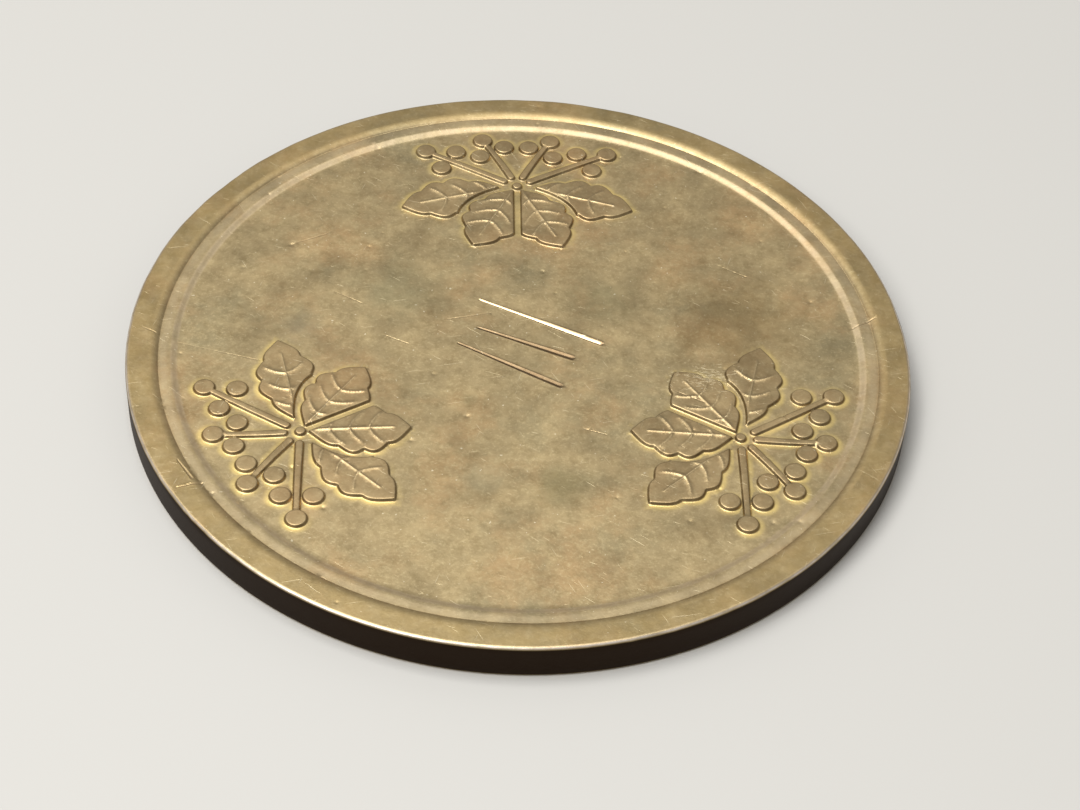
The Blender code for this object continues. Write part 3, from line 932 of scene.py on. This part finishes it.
# The die's fine grain, drawn as coarse as 0.09 mm so that it shows, on lumps of 0.6 mm, with the
# hairlines cut into both.
GRAIN_SIZE = 0.09
LUMP_SIZE = 0.6
HAIRLINE_CUT = -0.8
BUMP_STRENGTH = 0.35
BUMP_HEIGHT = 0.008
grain = add_node(tree, "ShaderNodeTexNoise", {"Vector": place, "Scale": PER_MM / GRAIN_SIZE, "Detail": 3.0})
lumps = add_node(tree, "ShaderNodeTexNoise", {"Vector": place, "Scale": PER_MM / LUMP_SIZE, "Detail": 3.0})
coarse = add_node(tree, "ShaderNodeMath", {
    0: lumps.outputs["Fac"], 1: 2.0, 2: grain.outputs["Fac"],
}, operation="MULTIPLY_ADD")
scored = add_node(tree, "ShaderNodeMath", {
    0: hairlines, 1: HAIRLINE_CUT, 2: coarse.outputs[0],
}, operation="MULTIPLY_ADD")
bump = add_node(tree, "ShaderNodeBump", {
    "Height": scored.outputs[0], "Strength": BUMP_STRENGTH, "Distance": BUMP_HEIGHT * MM,
})
tree.links.new(bump.outputs[0], shader.inputs["Normal"])
mesh.materials.append(bronze)

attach(medal, "root")
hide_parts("medal")

# ---------------------------------------------------------------------------------------------------
# The floor: a plain pale board under the medal, large enough to fill the view. It is painted card,
# which is matt and nearly neutral, so it shows only the medal's shadow.
FLOOR_REACH = 0.6
FLOOR_ROUGHNESS = 0.6
floor_mesh = bpy.data.meshes.new("floor")
corners = [
    (-FLOOR_REACH, -FLOOR_REACH, 0),
    (FLOOR_REACH, -FLOOR_REACH, 0),
    (FLOOR_REACH, FLOOR_REACH, 0),
    (-FLOOR_REACH, FLOOR_REACH, 0),
]
floor_mesh.from_pydata(corners, [], [(0, 1, 2, 3)])
floor = bpy.data.objects.new("floor", floor_mesh)
bpy.context.scene.collection.objects.link(floor)
board = bpy.data.materials.new("pale_board")
board.use_nodes = True
board.node_tree.nodes["Principled BSDF"].inputs["Base Color"].default_value = linear("#b9b7b2")
board.node_tree.nodes["Principled BSDF"].inputs["Roughness"].default_value = FLOOR_ROUGHNESS
floor_mesh.materials.append(board)

# The light: a dim even room, a small softbox in front on the left that rakes the relief, and a larger
# one nearly overhead, a little to the left, whose glow the face returns.
ROOM_STRENGTH = 0.46
world = bpy.data.worlds.new("room")
world.use_nodes = True
world.node_tree.nodes["Background"].inputs["Color"].default_value = linear("#f0eeea")
world.node_tree.nodes["Background"].inputs["Strength"].default_value = ROOM_STRENGTH
bpy.context.scene.world = world


def softbox(name, azimuth, elevation, distance, size, power):
    """An area light that faces the medal from the given angles, in degrees, and distance, in metres."""
    lamp = bpy.data.lights.new(name, "AREA")
    lamp.shape = "SQUARE"
    lamp.size = size
    lamp.energy = power
    box = bpy.data.objects.new(name, lamp)
    turn, tilt = math.radians(azimuth), math.radians(elevation)
    way = Vector((math.cos(turn) * math.cos(tilt), math.sin(turn) * math.cos(tilt), math.sin(tilt)))
    box.matrix_world = Matrix.Translation(way * distance) @ way.to_track_quat("Z", "Y").to_matrix().to_4x4()
    bpy.context.scene.collection.objects.link(box)


softbox("key_softbox", 222.0, 52.0, 0.30, 0.12, 0.45)
softbox("overhead_softbox", 168.0, 78.0, 0.34, 0.20, 1.02)

# The camera stands in front, about 45 degrees up and three diameters away, slightly rolled, with a
# long lens. It is placed from the middle of the medal's upper face.
CAMERA_ELEVATION = math.radians(45.416)
CAMERA_ROLL = math.radians(3.275)
CAMERA_TURN = math.radians(-3.367)
CAMERA_DISTANCE = 93.582 * MM
CAMERA_ASIDE = 0.903 * MM
CAMERA_BELOW = 2.333 * MM
LENS_LENGTH = 81.28
SENSOR_WIDTH = 36.0
forward = Vector((0.0, math.cos(CAMERA_ELEVATION), -math.sin(CAMERA_ELEVATION)))
right = Vector((1.0, 0.0, 0.0))
up = right.cross(forward)
stand = -forward * CAMERA_DISTANCE + right * CAMERA_ASIDE - up * CAMERA_BELOW + Vector((0, 0, highest[2]))
rolled_right = right * math.cos(CAMERA_ROLL) + up * math.sin(CAMERA_ROLL)
rolled_up = up * math.cos(CAMERA_ROLL) - right * math.sin(CAMERA_ROLL)
lens = bpy.data.cameras.new("camera")
lens.lens = LENS_LENGTH
lens.sensor_width = SENSOR_WIDTH
lens.clip_start = 0.005
lens.clip_end = 5.0
camera = bpy.data.objects.new("camera", lens)
aim = Matrix((rolled_right, rolled_up, -forward)).transposed().to_4x4()
camera.matrix_world = Matrix.Rotation(CAMERA_TURN, 4, "Z") @ Matrix.Translation(stand) @ aim
bpy.context.scene.collection.objects.link(camera)
bpy.context.scene.camera = camera
bpy.context.scene.view_settings.view_transform = "Standard"
